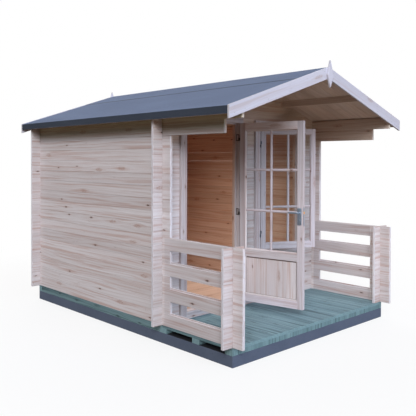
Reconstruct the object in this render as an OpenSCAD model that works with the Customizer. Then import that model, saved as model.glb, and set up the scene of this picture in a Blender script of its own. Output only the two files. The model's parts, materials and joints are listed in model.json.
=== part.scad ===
// Small garden log cabin with a railed porch: interlocking logs on timber
// bearers, a slab plinth, a low felted gable roof, a part-glazed door that
// opens outward, and a tall casement window standing ajar.
// Units are millimetres. X across the front, -Y is the front, Z up.
// The origin is the centre of the plinth's underside.

/* [Cabin] */
// Width over the outer faces of the side walls
wall_w = 2288; // [2240:1:2340]
// Length of the cabin over its front and rear walls
cabin_d = 2288; // [2200:1:2600]
// Depth of the porch in front of the front wall
porch_d = 872; // [860:1:960]
// Thickness of a wall log
log_t = 28; // [26:1:30]
// Height of one course of logs
log_h = 114; // [112:1:115]
// How far the log ends run past each corner
log_end = 106; // [90:1:110]
// Depth of the V joint between courses
log_groove = 3; // [2:0.5:5]

/* [Base] */
// Height of the plinth slab
plinth_h = 95; // [60:1:140]
// Height of the timber bearers on the plinth
bearer_h = 44; // [38:1:60]
// Thickness of the porch deck boards
deck_t = 24; // [20:1:28]
// Number of deck boards
deck_boards = 19; // [15:1:24]
// Gap between deck boards
deck_gap = 3; // [2:0.5:8]
// Thickness of the cabin's floor boards
floor_t = 18; // [16:1:22]

/* [Porch railing] */
// Courses of logs in the railing and its posts
rail_courses = 7; // [5:2:9]
// Tongue left showing on top of an open rail
tongue_h = 13; // [10:1:15]
// Length of the short logs behind each post's crossing
post_back = 120; // [100:1:160]

/* [Roof] */
// Rise of the roof for each unit of run
pitch = 0.3259; // [0.3:0.0001:0.34]
// Height of the roof boards' underside at the ridge
ridge_under = 2476; // [2470:1:2482]
// Half of the width over the barge boards
roof_half = 1307; // [1300:1:1340]
// Reach of the roof in front of the front wall, barge board included
roof_front = 983; // [975:1:1000]
// Reach of the roof behind the rear wall, barge board included
roof_back = 127; // [127:1:160]
// Vertical thickness of the roof boards
board_t = 19; // [17:0.5:22]
// Thickness of the roofing felt
felt_t = 3.5; // [2.5:0.5:5]
// Half of the width of the felt strip over the ridge
ridge_strip = 430; // [380:5:480]
// Vertical depth of the barge boards
barge_h = 106; // [98:1:115]
// Thickness of the barge boards
barge_t = 20; // [18:1:24]
// Height of the board along the eaves
eave_h = 60; // [50:1:80]

/* [Door] */
// Left reveal of the doorway
door_x0 = -868; // [-880:1:-860]
// Right reveal of the doorway
door_x1 = -166; // [-170:1:-150]
// Height of the underside of the doorway's head
door_head_z = 2031; // [2010:1:2034]
// Thickness of the door leaf
leaf_t = 42; // [38:1:46]
// How far the leaf stands proud of the frame's face
leaf_proud = 14; // [12:1:18]
// Angle at which the door stands open
door_open = 101; // [80:1:130]
// Width of the leaf's stiles
stile_w = 60; // [54:1:70]

/* [Window] */
// Left reveal of the window
win_x0 = 171; // [165:1:185]
// Right reveal of the window
win_x1 = 812; // [800:1:820]
// Height of the window's lower reveal
win_z0 = 712; // [700:1:730]
// Height of the window's head
win_z1 = 1996; // [1980:1:2000]
// Angle at which the casement stands open
win_open = 26.4; // [15:0.1:35]
// Thickness of the casement sash
sash_t = 40; // [36:1:44]

/* [Frames] */
// Width of the casings round the openings
casing_w = 72; // [60:1:80]
// How far the outer casings stand proud of the wall
casing_t = 28; // [22:1:30]

/* [Hidden] */
$fn = 32;

xo = wall_w/2;                    // outer face of a side wall
xi = xo - log_t;                  // inner face of a side wall
yf = -(cabin_d + porch_d)/2;      // front edge of the plinth
yw = yf + porch_d;                // outer face of the front wall
yr = -yf;                         // outer face of the rear wall
z0 = plinth_h + bearer_h + deck_t; // underside of the logs
courses = 17;
play = 0.1;                        // where pieces meet on the roof's slope
q = log_h/4;
over_z = z0 + log_h/2 + 16*log_h;  // joint over door and window
roof_y0 = yw - roof_front + barge_t;
roof_y1 = yr + roof_back - barge_t;
eave_x = roof_half - 4;            // outer face of the eave boards
eave_t = 20;
hinge_x = door_x1 + 14.4;          // door hinge axis
hinge_y = yw - casing_t - 6;
hinge_r = 5.5;
leaf_x0 = door_x0 + 6;
leaf_x1 = door_x1 - 5;
leaf_y0 = yw - casing_t - leaf_proud;
leaf_y1 = leaf_y0 + leaf_t;
leaf_z0 = z0 + 85;
leaf_z1 = door_head_z - 5;
rail_mid0 = z0 + 534;  // middle rail of the door
rail_mid1 = z0 + 608;
top_rail = 76;
bot_rail = 74;
bar_w = 24;
bar_t = 9;
glass_t = 4;
hinge_zs = [z0 + 224, z0 + 972, z0 + 1720];
plate_x = leaf_x0 + 36;
lever_z = z0 + 998;
lin = 20;                          // lining inside each opening
in_cas = 18;                       // inner casing thickness
stop_w = 14;
wh = [z0 + 716, z0 + 1658];        // window hinge heights

function under(x) = ridge_under - pitch*abs(x);   // roof boards' underside

// profile of a log wall in (across, z), V joints at the heights zs
function vjoint(a, s, z, g) = [[a, z - g], [a - s*g, z], [a, z + g]];
function vprof(a0, a1, zb, zt0, zt1, zs, g) = concat(
  [[a1, zb]], [for (z = zs) if (z > zb + 8 && z < zt1 - 8) each vjoint(a1, 1, z, g)], [[a1, zt1]],
  [[a0, zt0]], [for (i = [len(zs)-1:-1:0]) let(z = zs[i]) if (z > zb + 8 && z < zt0 - 8)
     each [[a0, z + g], [a0 + g, z], [a0, z - g]]], [[a0, zb]]);

side_js = [for (k = [1:courses-1]) z0 + k*log_h];
cross_js = [for (k = [0:19]) z0 + log_h/2 + k*log_h];

module along_y(y0, y1) translate([0, y1, 0]) rotate([90, 0, 0]) linear_extrude(y1 - y0) children();
module along_x(x0, x1) translate([x0, 0, 0]) rotate([90, 0, 90]) linear_extrude(x1 - x0) children();
module box(a, b) translate(a) cube(b - a);
module both() { children(); mirror([1, 0, 0]) children(); }

// heights where the side logs run through a corner, and where the cross logs do
module side_bands(x0, x1, y0, y1, n) for (k = [0:n-1])
  box([x0, y0, z0 + k*log_h + q], [x1, y1, z0 + k*log_h + 3*q]);
module cross_bands(x0, x1, y0, y1, n, top) {
  box([x0, y0, z0 - 1], [x1, y1, z0 + q]);
  for (k = [1:n-1]) box([x0, y0, z0 + k*log_h - q], [x1, y1, z0 + k*log_h + q]);
  box([x0, y0, z0 + n*log_h - q], [x1, y1, top]);
}

wood = [0.80, 0.75, 0.72];
warm = [0.78, 0.55, 0.38];
trim = [0.86, 0.85, 0.88];
green = [0.42, 0.52, 0.50];
slate = [0.36, 0.39, 0.45];
felt = [0.45, 0.50, 0.60];
steel = [0.55, 0.60, 0.66];

module plinth() color(slate) box([-xo, yf, 0], [xo, yr, plinth_h]);

module cabin_bearers() color(green) {
  // five bearers along the cabin, and one across its rear edge
  bw = 60;
  for (i = [0:4]) {
    x = -xo + i*(wall_w - bw)/4;
    box([x, yw + 31, plinth_h], [x + bw, yr - bw - 2, z0 - floor_t]);
  }
  for (x = [-xo, xi]) box([x, yw + 31, z0 - floor_t], [x + log_t, yr - bw - 2, z0]);
  difference() {
    box([-xo, yr - bw, plinth_h], [xo, yr, z0]);
    box([-xi, yr - bw - 1, z0 - floor_t], [xi, yr - log_t, z0 + 1]);
  }
}

module porch_bearers() color(green) {
  bw = 87;
  difference() {
    box([-xo, yw - 58, plinth_h], [xo, yw + 29, z0]);
    box([-xo - 1, yw - 59, z0 - deck_t], [xo + 1, yw, z0 + 1]);
    box([-xi, yw + 28, z0 - floor_t], [xi, yw + 30, z0 + 1]);
  }
  for (y = [yw - 483, yf]) box([-xo, y, plinth_h], [xo, y + bw, z0 - deck_t]);
}

module cabin_floor() color(warm) box([-xi, yw + log_t, z0 - floor_t], [xi, yr - log_t, z0]);

module porch_deck() color(green) {
  w = (wall_w - (deck_boards - 1)*deck_gap)/deck_boards;
  for (i = [0:deck_boards-1]) let(x = -xo + i*(w + deck_gap))
    box([x, yf, z0 - deck_t], [x + w, yw, z0]);
}

module side_wall() difference() {
  along_y(yw - log_end, yr + log_end)
    polygon(vprof(-xo, -xi, z0, under(xo), under(xi), side_js, log_groove));
  for (y = [yw, yr - log_t]) cross_bands(-xo - 1, -xi + 1, y, y + log_t, courses, ridge_under);
}
module left_wall() color(wood) side_wall();
module right_wall() color(wood) mirror([1, 0, 0]) side_wall();

// a piece of front or rear wall
module cross_wall(x0, x1, y, zb, zt) difference() {
  along_x(x0, x1) polygon(vprof(y, y + log_t, zb, zt, zt, cross_js, log_groove));
  both() side_bands(-xo, -xi, y - 1, y + log_t + 1, courses);
}
module gable(y) difference() {
  cross_wall(-xo - log_end, xo + log_end, y, over_z, ridge_under);
  both() along_y(y - 1, y + log_t + 1)
    polygon([[-1, under(1)], [-xo - log_end - 1, under(xo + log_end + 1)],
      [-xo - log_end - 1, ridge_under + 50], [-1, ridge_under + 50]]);
  along_y(y - 2, y + log_t + 2)
    polygon([[-2, under(2)], [2, under(2)], [2, ridge_under + 9], [-2, ridge_under + 9]]);
  purlin_shapes(y - 1, y + log_t + 1);
}

module rear_wall() color(wood) cross_wall(-xo - log_end, xo + log_end, yr - log_t, z0, over_z);
module rear_gable() color(wood) gable(yr - log_t);
module front_wall_left() color(wood) cross_wall(-xo - log_end, door_x0 - lin, yw, z0, over_z);
module front_wall_middle() color(wood) cross_wall(door_x1 + lin, win_x0 - lin, yw, z0, over_z);
module front_wall_right() color(wood) cross_wall(win_x1 + lin, xo + log_end, yw, z0, over_z);
module front_wall_under_window() color(wood) cross_wall(win_x0 - lin, win_x1 + lin, yw, z0, win_z0 - lin);
module door_sill_log() color(wood) cross_wall(door_x0 - lin, door_x1 + lin, yw, z0, z0 + log_h/2);
module front_gable() color(wood) gable(yw);

module eave_logs() {
  y1 = yw - log_end;
  z16 = z0 + 15*log_h;
  difference() {
    union() {
      along_y(roof_y0, y1) polygon(vprof(-xo, -xi, z16 + log_h, under(xo), under(xi), [], log_groove));
      along_y(yw - 772, y1) polygon(vprof(-xo, -xi, z16, z16 + log_h + 1, z16 + log_h + 1, [], log_groove));
    }
    for (x = [-xo, -xi]) along_y(roof_y0 - 1, y1 + 1)
      polygon([[x - log_groove, z16 + log_h], [x, z16 + log_h - log_groove],
               [x + log_groove, z16 + log_h], [x, z16 + log_h + log_groove]]);
  }
}
module left_eave_logs() color(wood) eave_logs();
module right_eave_logs() color(wood) mirror([1, 0, 0]) eave_logs();

// four open rails between the wall's log ends and the post
module rails() for (k = [0:2:rail_courses-1]) let(zb = z0 + k*log_h) {
  along_y(yf + post_back, yw - log_end) polygon(k < rail_courses - 1
    ? [[-xo + 2, zb], [-xi - 2, zb], [-xi, zb + 2], [-xi, zb + log_h - 2], [-xi - 2, zb + log_h],
       [-xo + log_t/2 + 5, zb + log_h], [-xo + log_t/2 + 4, zb + log_h + tongue_h],
       [-xo + log_t/2 - 4, zb + log_h + tongue_h], [-xo + log_t/2 - 5, zb + log_h],
       [-xo + 2, zb + log_h], [-xo, zb + log_h - 2], [-xo, zb + 2]]
    : [[-xo + 2, zb], [-xi - 2, zb], [-xi, zb + 2], [-xi, zb + log_h], [-xo, zb + log_h], [-xo, zb + 2]]);
}
module left_railing() color(wood) rails();
module right_railing() color(wood) mirror([1, 0, 0]) rails();

// corner of crossing log stubs at the front of the porch
module porch_post() {
  zt = z0 + rail_courses*log_h;
  along_y(yf - log_end, yf + post_back)
    polygon(vprof(-xo, -xi, z0, zt, zt, [for (k = [1:rail_courses-1]) z0 + k*log_h], log_groove));
  along_x(-xo - log_end, -xi + log_end)
    polygon(vprof(yf, yf + log_t, z0, zt, zt, [for (k = [0:rail_courses-1]) z0 + log_h/2 + k*log_h], log_groove));
}
module left_porch_post() color(wood) porch_post();
module right_porch_post() color(wood) mirror([1, 0, 0]) porch_post();

module purlin_shapes(y0, y1) along_y(y0, y1) {
  polygon([[-20, ridge_under - 76], [20, ridge_under - 76], [20, under(20)], [0, ridge_under], [-20, under(20)]]);
  for (s = [-1, 1]) polygon([[s*548, ridge_under - 245], [s*588, ridge_under - 245], [s*588, under(588)], [s*548, under(548)]]);
}
module purlins() color(warm) purlin_shapes(roof_y0, roof_y1);

module roof_boards() along_y(roof_y0, roof_y1)
  polygon([[0, ridge_under + play], [-eave_x + eave_t, under(eave_x - eave_t) + play],
    [-eave_x + eave_t, under(eave_x - eave_t) + board_t], [0, ridge_under + board_t]]);
module left_roof_boards() color(warm) roof_boards();
module right_roof_boards() color(warm) mirror([1, 0, 0]) roof_boards();

module eave_boards() color(wood) both() along_y(roof_y0, roof_y1) let(t = under(eave_x) + board_t)
  polygon([[-eave_x, t], [-eave_x + eave_t, t + pitch*eave_t], [-eave_x + eave_t, t - eave_h], [-eave_x, t - eave_h]]);

module side_felt() along_y(roof_y0, roof_y1) let(t = under(eave_x) + board_t, o = eave_x + 3)
  polygon([[0, ridge_under + board_t + play], [-eave_x, t + play], [-eave_x, t - eave_h], [-o, t - eave_h],
    [-o, under(o) + board_t + felt_t], [0, ridge_under + board_t + felt_t]]);
module left_felt() color(felt) side_felt();
module right_felt() color(felt) mirror([1, 0, 0]) side_felt();
module ridge_felt() color(felt) along_y(roof_y0, roof_y1) let(b = board_t + felt_t + play, w = ridge_strip)
  polygon([[-w, under(w) + b], [0, ridge_under + b], [w, under(w) + b],
    [w, under(w) + b + 3], [0, ridge_under + b + 3], [-w, under(w) + b + 3]]);

module barge_pair(y0) both() along_y(y0, y0 + barge_t) let(t = ridge_under + board_t + felt_t + 4.5)
  polygon([[-0.5, t - pitch*0.5], [-roof_half, t - pitch*roof_half],
    [-roof_half, t - pitch*roof_half - barge_h], [-0.5, t - pitch*0.5 - barge_h]]);
module front_barge_boards() color(trim) barge_pair(roof_y0 - barge_t);
module rear_barge_boards() color(trim) barge_pair(roof_y1);

module kite(y0) along_y(y0, y0 + 20)
  polygon([[0, ridge_under - 164], [44, ridge_under - 53], [0, ridge_under + 86], [-44, ridge_under - 53]]);
module finials() color(trim) { kite(roof_y0 - barge_t - 20); kite(roof_y1 + barge_t); }

// upright of a frame: outer casing, lining, inner casing; s = 1 opens to +X
module upright(x, s, zb, zt, zbi) {
  mirror([s < 0 ? 1 : 0, 0, 0]) translate([s*x, 0, 0]) {
    box([-casing_w, yw - casing_t, zb], [0, yw, zt]);
    box([-lin, yw - 0.01, zbi], [0, yw + log_t + 0.01, over_z - 13]);
    box([-60, yw + log_t, zbi], [0, yw + log_t + in_cas, over_z - 13]);
  }
}
module door_frame_left() color(trim) {
  upright(door_x0, 1, z0 + 30, door_head_z, z0 + log_h/2);
  box([door_x0, yw + 6, z0 + 80], [door_x0 + stop_w, yw + log_t + in_cas, door_head_z]);
}
module door_frame_right() color(trim) {
  upright(door_x1, -1, z0 + 30, door_head_z, z0 + log_h/2);
  box([door_x1 - stop_w, yw + 6, z0 + 80], [door_x1, yw + log_t + in_cas, door_head_z]);
}
module door_frame_head() color(trim) {
  box([door_x0 - casing_w, yw - casing_t, door_head_z], [door_x1 + casing_w, yw, door_head_z + casing_w]);
  box([door_x0 - lin, yw - 0.01, door_head_z], [door_x1 + lin, yw + log_t + 0.01, over_z]);
  box([door_x0 - 60, yw + log_t, door_head_z], [door_x1 + 60, yw + log_t + in_cas, door_head_z + 60]);
  box([door_x0 + stop_w, yw + 6, door_head_z - stop_w], [door_x1 - stop_w, yw + log_t + in_cas, door_head_z + 1]);
}
module door_threshold() color(trim)
  box([door_x0, yw - casing_t, z0 + log_h/2], [door_x1, yw + log_t + in_cas, z0 + 80]);

// the door is drawn shut and swung to where it stands
module swing() translate([hinge_x, hinge_y, 0]) rotate([0, 0, door_open])
  translate([-hinge_x, -hinge_y, 0]) children();

module frame_hinges() color(steel) for (z = hinge_zs) {
  box([door_x1 - 2, yw - casing_t - 2, z - 33], [door_x1, yw + 5, z + 33]);
  box([door_x1 - 2, yw - casing_t - 2, z - 33], [hinge_x, yw - casing_t, z - 1]);
  translate([hinge_x, hinge_y, z - 33]) cylinder(h = 32, r = hinge_r);
  translate([hinge_x, hinge_y, z - 2]) cylinder(h = 32, r = 3);
}
module door_hinges() color(steel) swing() for (z = hinge_zs) {
  difference() {
    union() {
      box([leaf_x1, leaf_y0 + 3, z - 33], [leaf_x1 + 2, leaf_y1 - 6, z + 33]);
      box([leaf_x1, hinge_y - 1, z], [hinge_x - 1, hinge_y + 1, z + 33]);
      translate([hinge_x, hinge_y, z]) cylinder(h = 33, r = hinge_r);
    }
    translate([hinge_x, hinge_y, z - 1]) cylinder(h = 31.5, r = 3.06);
  }
}
module leaf_glass() box([leaf_x0 + stile_w, (leaf_y0 + leaf_y1)/2 - glass_t/2, rail_mid1],
  [leaf_x1 - stile_w, (leaf_y0 + leaf_y1)/2 + glass_t/2, leaf_z1 - top_rail]);
module door_leaf() color(trim) swing() difference() {
  union() {
    difference() {
      box([leaf_x0, leaf_y0, leaf_z0], [leaf_x1, leaf_y1, leaf_z1]);
      box([leaf_x0 + stile_w, leaf_y0 - 1, rail_mid1], [leaf_x1 - stile_w, leaf_y1 + 1, leaf_z1 - top_rail]);
      box([leaf_x0 + stile_w, leaf_y0 - 1, leaf_z0 + bot_rail], [leaf_x1 - stile_w, leaf_y1 + 1, rail_mid0]);
    }
    let(c = (leaf_x0 + leaf_x1)/2, m = (leaf_y0 + leaf_y1)/2, d = bar_t + glass_t/2,
        p = (leaf_z1 - top_rail - rail_mid1 - 2*bar_w)/3) {
      box([c - bar_w/2, m - d, rail_mid1 - 1], [c + bar_w/2, m + d, leaf_z1 - top_rail + 1]);
      for (k = [1, 2]) box([leaf_x0 + stile_w - 1, m - d, rail_mid1 + k*p + (k-1)*bar_w],
        [leaf_x1 - stile_w + 1, m + d, rail_mid1 + k*(p + bar_w)]);
    }
  }
  leaf_glass();
  translate([plate_x, leaf_y1 + 1, lever_z]) rotate([90, 0, 0]) cylinder(h = leaf_t + 2, r = 11);
}
module door_panel() color(trim) swing() let(m = (leaf_y0 + leaf_y1)/2)
  box([leaf_x0 + stile_w, m - 8, leaf_z0 + bot_rail], [leaf_x1 - stile_w, m + 8, rail_mid0]);
module door_glass() color([0.8, 0.85, 0.9, 0.35]) swing() leaf_glass();

// long backplates on both faces, with the key cylinder, and the lever pair
module door_plates() color(steel) swing() {
  for (y = [leaf_y0 - 3, leaf_y1]) difference() {
    box([plate_x - 21, y, lever_z - 118], [plate_x + 21, y + 3, lever_z + 44]);
    translate([plate_x, y + 4, lever_z]) rotate([90, 0, 0]) cylinder(h = 5, r = 9);
  }
  for (y = [leaf_y0 - 9, leaf_y1 + 3]) translate([plate_x, y + 6, lever_z - 72])
    rotate([90, 0, 0]) cylinder(h = 6, r = 8);
}
module door_levers() color(steel) swing() {
  translate([plate_x, leaf_y1 + 46, lever_z]) rotate([90, 0, 0]) cylinder(h = leaf_t + 92, r = 4.5);
  for (s = [0, 1]) let(y = s ? leaf_y1 + 4 : leaf_y0 - 46) {
    translate([plate_x, y + 42, lever_z]) rotate([90, 0, 0]) cylinder(h = 42, r = 8);
    let(yy = s ? leaf_y1 + 34 : leaf_y0 - 46)
      box([plate_x, yy, lever_z - 8], [plate_x + 101, yy + 12, lever_z + 8]);
  }
}

module window_frame() color(trim) {
  difference() {
    union() {
      box([win_x0 - casing_w, yw - casing_t, win_z0 - casing_w], [win_x1 + casing_w, yw, win_z1 + casing_w]);
      box([win_x0 - lin, yw - 1, win_z0 - lin], [win_x1 + lin, yw + log_t + 1, over_z]);
      box([win_x0 - 60, yw + log_t, win_z0 - 60], [win_x1 + 60, yw + log_t + in_cas, win_z1 + 60]);
    }
    box([win_x0, yw - casing_t - 1, win_z0], [win_x1, yw + log_t + in_cas + 1, win_z1]);
  }
}
// the casement is drawn from its hinged corner and turned to where it stands
sash_w = win_x1 - win_x0 - 5;
sash_h = win_z1 - win_z0 - 8;
module sash_place() translate([win_x0 + 5, yw - casing_t - 2, win_z0 + 4]) rotate([0, 0, -win_open]) children();
module sash_glass() box([56, sash_t/2 - 2, 62], [sash_w - 50, sash_t/2 + 2, sash_h - 57]);
module window_sash() color(trim) sash_place() difference() {
  union() {
    difference() {
      box([0, 0, 0], [sash_w, sash_t, sash_h]);
      box([56, -1, 62], [sash_w - 50, sash_t + 1, sash_h - 57]);
    }
    let(c = (56 + sash_w - 50)/2, p = (sash_h - 119 - 2*bar_w)/3, d = bar_t + 2) {
      box([c - bar_w/2, sash_t/2 - d, 61], [c + bar_w/2, sash_t/2 + d, sash_h - 56]);
      for (k = [1, 2]) box([55, sash_t/2 - d, 62 + k*p + (k-1)*bar_w], [sash_w - 49, sash_t/2 + d, 62 + k*(p + bar_w)]);
    }
  }
  sash_glass();
}
module window_glass() color([0.8, 0.85, 0.9, 0.35]) sash_place() sash_glass();
module window_hinges() color(steel) for (z = wh) {
  translate([win_x0 - 1, yw - casing_t - 6.2, z - 36]) cylinder(h = 72, r = 5.5);
  box([win_x0 - 23, yw - casing_t - 2, z - 34], [win_x0 - 1, yw - casing_t, z + 34]);
  translate([win_x0 + 5, yw - casing_t - 2, z - 33]) rotate([0, 0, -win_open]) box([-3, -2.5, 0], [26, 0, 66]);
}

plinth();
cabin_bearers();
porch_bearers();
cabin_floor();
porch_deck();
left_wall();
right_wall();
rear_wall();
rear_gable();
front_wall_left();
front_wall_middle();
front_wall_right();
front_wall_under_window();
door_sill_log();
front_gable();
left_eave_logs();
right_eave_logs();
left_railing();
right_railing();
left_porch_post();
right_porch_post();
purlins();
left_roof_boards();
right_roof_boards();
eave_boards();
left_felt();
right_felt();
ridge_felt();
front_barge_boards();
rear_barge_boards();
finials();
door_frame_left();
door_frame_right();
door_frame_head();
door_threshold();
frame_hinges();
door_hinges();
door_leaf();
door_panel();
door_glass();
door_plates();
door_levers();
window_frame();
window_sash();
window_glass();
window_hinges();
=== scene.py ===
import bpy
import bmesh
import json
import math
import random
from mathutils import Matrix, Vector

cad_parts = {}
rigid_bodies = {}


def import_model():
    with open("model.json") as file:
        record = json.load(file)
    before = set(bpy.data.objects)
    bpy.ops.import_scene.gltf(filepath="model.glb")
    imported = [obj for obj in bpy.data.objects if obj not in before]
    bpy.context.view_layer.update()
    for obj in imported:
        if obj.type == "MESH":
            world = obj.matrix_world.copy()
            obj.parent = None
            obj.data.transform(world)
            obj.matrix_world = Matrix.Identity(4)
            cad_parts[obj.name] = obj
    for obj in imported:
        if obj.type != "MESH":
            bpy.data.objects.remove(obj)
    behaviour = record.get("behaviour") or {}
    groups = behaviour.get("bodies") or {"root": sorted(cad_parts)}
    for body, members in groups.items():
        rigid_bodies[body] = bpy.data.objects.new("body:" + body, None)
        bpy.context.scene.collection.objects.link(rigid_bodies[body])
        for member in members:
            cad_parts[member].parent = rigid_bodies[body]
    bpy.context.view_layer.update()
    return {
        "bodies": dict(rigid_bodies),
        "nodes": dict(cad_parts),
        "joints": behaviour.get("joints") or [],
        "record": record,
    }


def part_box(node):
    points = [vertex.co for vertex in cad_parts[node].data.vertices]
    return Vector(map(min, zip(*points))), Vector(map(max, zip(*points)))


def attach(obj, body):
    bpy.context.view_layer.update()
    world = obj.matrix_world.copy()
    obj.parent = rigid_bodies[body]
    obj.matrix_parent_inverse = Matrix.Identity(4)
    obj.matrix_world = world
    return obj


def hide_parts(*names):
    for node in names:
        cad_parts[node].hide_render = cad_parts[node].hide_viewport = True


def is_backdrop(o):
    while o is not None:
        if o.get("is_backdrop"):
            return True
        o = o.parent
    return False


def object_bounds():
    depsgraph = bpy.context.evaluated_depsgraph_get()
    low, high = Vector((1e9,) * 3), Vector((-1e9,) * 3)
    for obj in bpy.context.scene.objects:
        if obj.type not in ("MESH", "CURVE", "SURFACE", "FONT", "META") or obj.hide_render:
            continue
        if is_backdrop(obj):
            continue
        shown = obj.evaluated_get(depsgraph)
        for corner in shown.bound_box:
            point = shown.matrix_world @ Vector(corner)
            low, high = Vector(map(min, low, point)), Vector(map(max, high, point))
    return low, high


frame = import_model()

NODES = frame["nodes"]
MM = 0.001

# ---------------------------------------------------------------- sizes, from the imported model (millimetres)


def bx(node):
    lo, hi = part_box(node)
    return [v * 1000 for v in lo], [v * 1000 for v in hi]


lw0, lw1 = bx("left_wall")
rw0, rw1 = bx("right_wall")
XO, XI = rw1[0], rw0[0]                     # outer and inner faces of the side walls
Z0 = lw0[2]                                 # underside of the logs
Y_END0, Y_END1 = lw0[1], lw1[1]             # ends of the side logs
fw0, fw1 = bx("front_wall_middle")
YW, YWI = fw0[1], fw1[1]                    # front wall, outer and inner face
rr0, rr1 = bx("rear_wall")
YRI, YR = rr0[1], rr1[1]                    # rear wall, inner and outer face
LOG, LT = 114.0, XO - XI
Q = LOG / 4
OVER = rr1[2]                               # joint over door and window
X_END = rr1[0]
rb0, rb1 = bx("right_roof_boards")
ROOF_Y0, ROOF_Y1 = rb0[1], rb1[1]
ROOF_X = rb1[0]
BOARD = 19.0
RIDGE = rb1[2] - BOARD                      # roof boards' underside at the ridge
PITCH = (rb1[2] - BOARD - rb0[2]) / ROOF_X
PITCH = 0.3259
po0, po1 = bx("left_porch_post")
YF = po0[1] + 106                           # front edge of the plinth
POST_BACK = po1[1]
POST_TOP = po1[2]


def under(x):
    return RIDGE - PITCH * abs(x)


# ---------------------------------------------------------------- a small expression layer over shader nodes


class Sock:
    def __init__(self, g, s):
        self.g, self.s = g, s

    def _m(self, op, *o, clamp=False):
        return self.g.math(op, self, *o, clamp=clamp)

    def __add__(self, o): return self._m("ADD", o)
    def __radd__(self, o): return self._m("ADD", o)
    def __sub__(self, o): return self._m("SUBTRACT", o)
    def __rsub__(self, o): return self.g.math("SUBTRACT", o, self)
    def __mul__(self, o): return self._m("MULTIPLY", o)
    def __rmul__(self, o): return self._m("MULTIPLY", o)
    def __truediv__(self, o): return self._m("DIVIDE", o)
    def __neg__(self): return self._m("MULTIPLY", -1.0)
    def abs(self): return self._m("ABSOLUTE")
    def floor(self): return self._m("FLOOR")
    def fract(self): return self._m("FRACT")
    def sin(self): return self._m("SINE")
    def sqrt(self): return self._m("SQRT")
    def exp(self): return self._m("EXPONENT")
    def pow(self, o): return self._m("POWER", o)
    def lt(self, o): return self._m("LESS_THAN", o)
    def gt(self, o): return self._m("GREATER_THAN", o)
    def max(self, o): return self._m("MAXIMUM", o)
    def min(self, o): return self._m("MINIMUM", o)
    def clamp(self): return self._m("ADD", 0.0, clamp=True)
    def step(self, a, b, lo=0.0, hi=1.0): return self.g.range(self, a, b, lo, hi)


class Graph:
    def __init__(self, tree):
        self.t = tree

    def node(self, kind, **props):
        n = self.t.nodes.new(kind)
        for k, v in props.items():
            setattr(n, k, v)
        return n

    def put(self, sock, v):
        if isinstance(v, Sock):
            self.t.links.new(v.s, sock)
        elif isinstance(v, bpy.types.NodeSocket):
            self.t.links.new(v, sock)
        elif isinstance(v, (tuple, list)):
            sock.default_value = tuple(v) + ((1.0,) if len(v) == 3 and sock.type == "RGBA" else ())
        else:
            sock.default_value = v

    def math(self, op, *o, clamp=False):
        n = self.node("ShaderNodeMath", operation=op, use_clamp=clamp)
        for i, v in enumerate(o):
            self.put(n.inputs[i], v)
        return Sock(self, n.outputs[0])

    def range(self, v, a, b, lo=0.0, hi=1.0):
        n = self.node("ShaderNodeMapRange", interpolation_type="SMOOTHSTEP")
        for i, x in enumerate((v, a, b, lo, hi)):
            self.put(n.inputs[i], x)
        return Sock(self, n.outputs[0])

    def vec(self, x, y, z):
        n = self.node("ShaderNodeCombineXYZ")
        for i, v in enumerate((x, y, z)):
            self.put(n.inputs[i], v)
        return Sock(self, n.outputs[0])

    def split(self, v):
        n = self.node("ShaderNodeSeparateXYZ")
        self.put(n.inputs[0], v)
        return [Sock(self, n.outputs[i]) for i in range(3)]

    def attr(self, name):
        n = self.node("ShaderNodeAttribute", attribute_name=name)
        return Sock(self, n.outputs["Vector"])

    def coord(self, which="Object"):
        return Sock(self, self.node("ShaderNodeTexCoord").outputs[which])

    def noise(self, v, detail=2.0, rough=0.5, scale=1.0, dist=0.0):
        n = self.node("ShaderNodeTexNoise", noise_dimensions="3D")
        self.put(n.inputs["Vector"], v)
        for k, x in (("Scale", scale), ("Detail", detail), ("Roughness", rough), ("Distortion", dist)):
            n.inputs[k].default_value = x
        return Sock(self, n.outputs["Fac"])

    def white(self, v):
        n = self.node("ShaderNodeTexWhiteNoise", noise_dimensions="3D")
        self.put(n.inputs["Vector"], v)
        r = self.split(Sock(self, n.outputs["Color"]))
        return [Sock(self, n.outputs["Value"])] + r

    def mix(self, f, a, b, blend="MIX"):
        n = self.node("ShaderNodeMix", data_type="RGBA", blend_type=blend)
        self.put(n.inputs[0], f)
        self.put(n.inputs[6], a)
        self.put(n.inputs[7], b)
        return Sock(self, n.outputs[2])

    def bump(self, h, strength, distance):
        n = self.node("ShaderNodeBump")
        n.inputs["Strength"].default_value = strength
        n.inputs["Distance"].default_value = distance
        self.put(n.inputs["Height"], h)
        return Sock(self, n.outputs["Normal"])


def material(name):
    m = bpy.data.materials.new(name)
    m.use_nodes = True
    g = Graph(m.node_tree)
    b = m.node_tree.nodes["Principled BSDF"]
    return m, g, b


# ---------------------------------------------------------------- wood: one pattern group, read from each board's own coordinates
# gco holds a point's place along, across and through its board in metres; bdat holds the board's seed, its width and
# whether the face is end grain.


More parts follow.
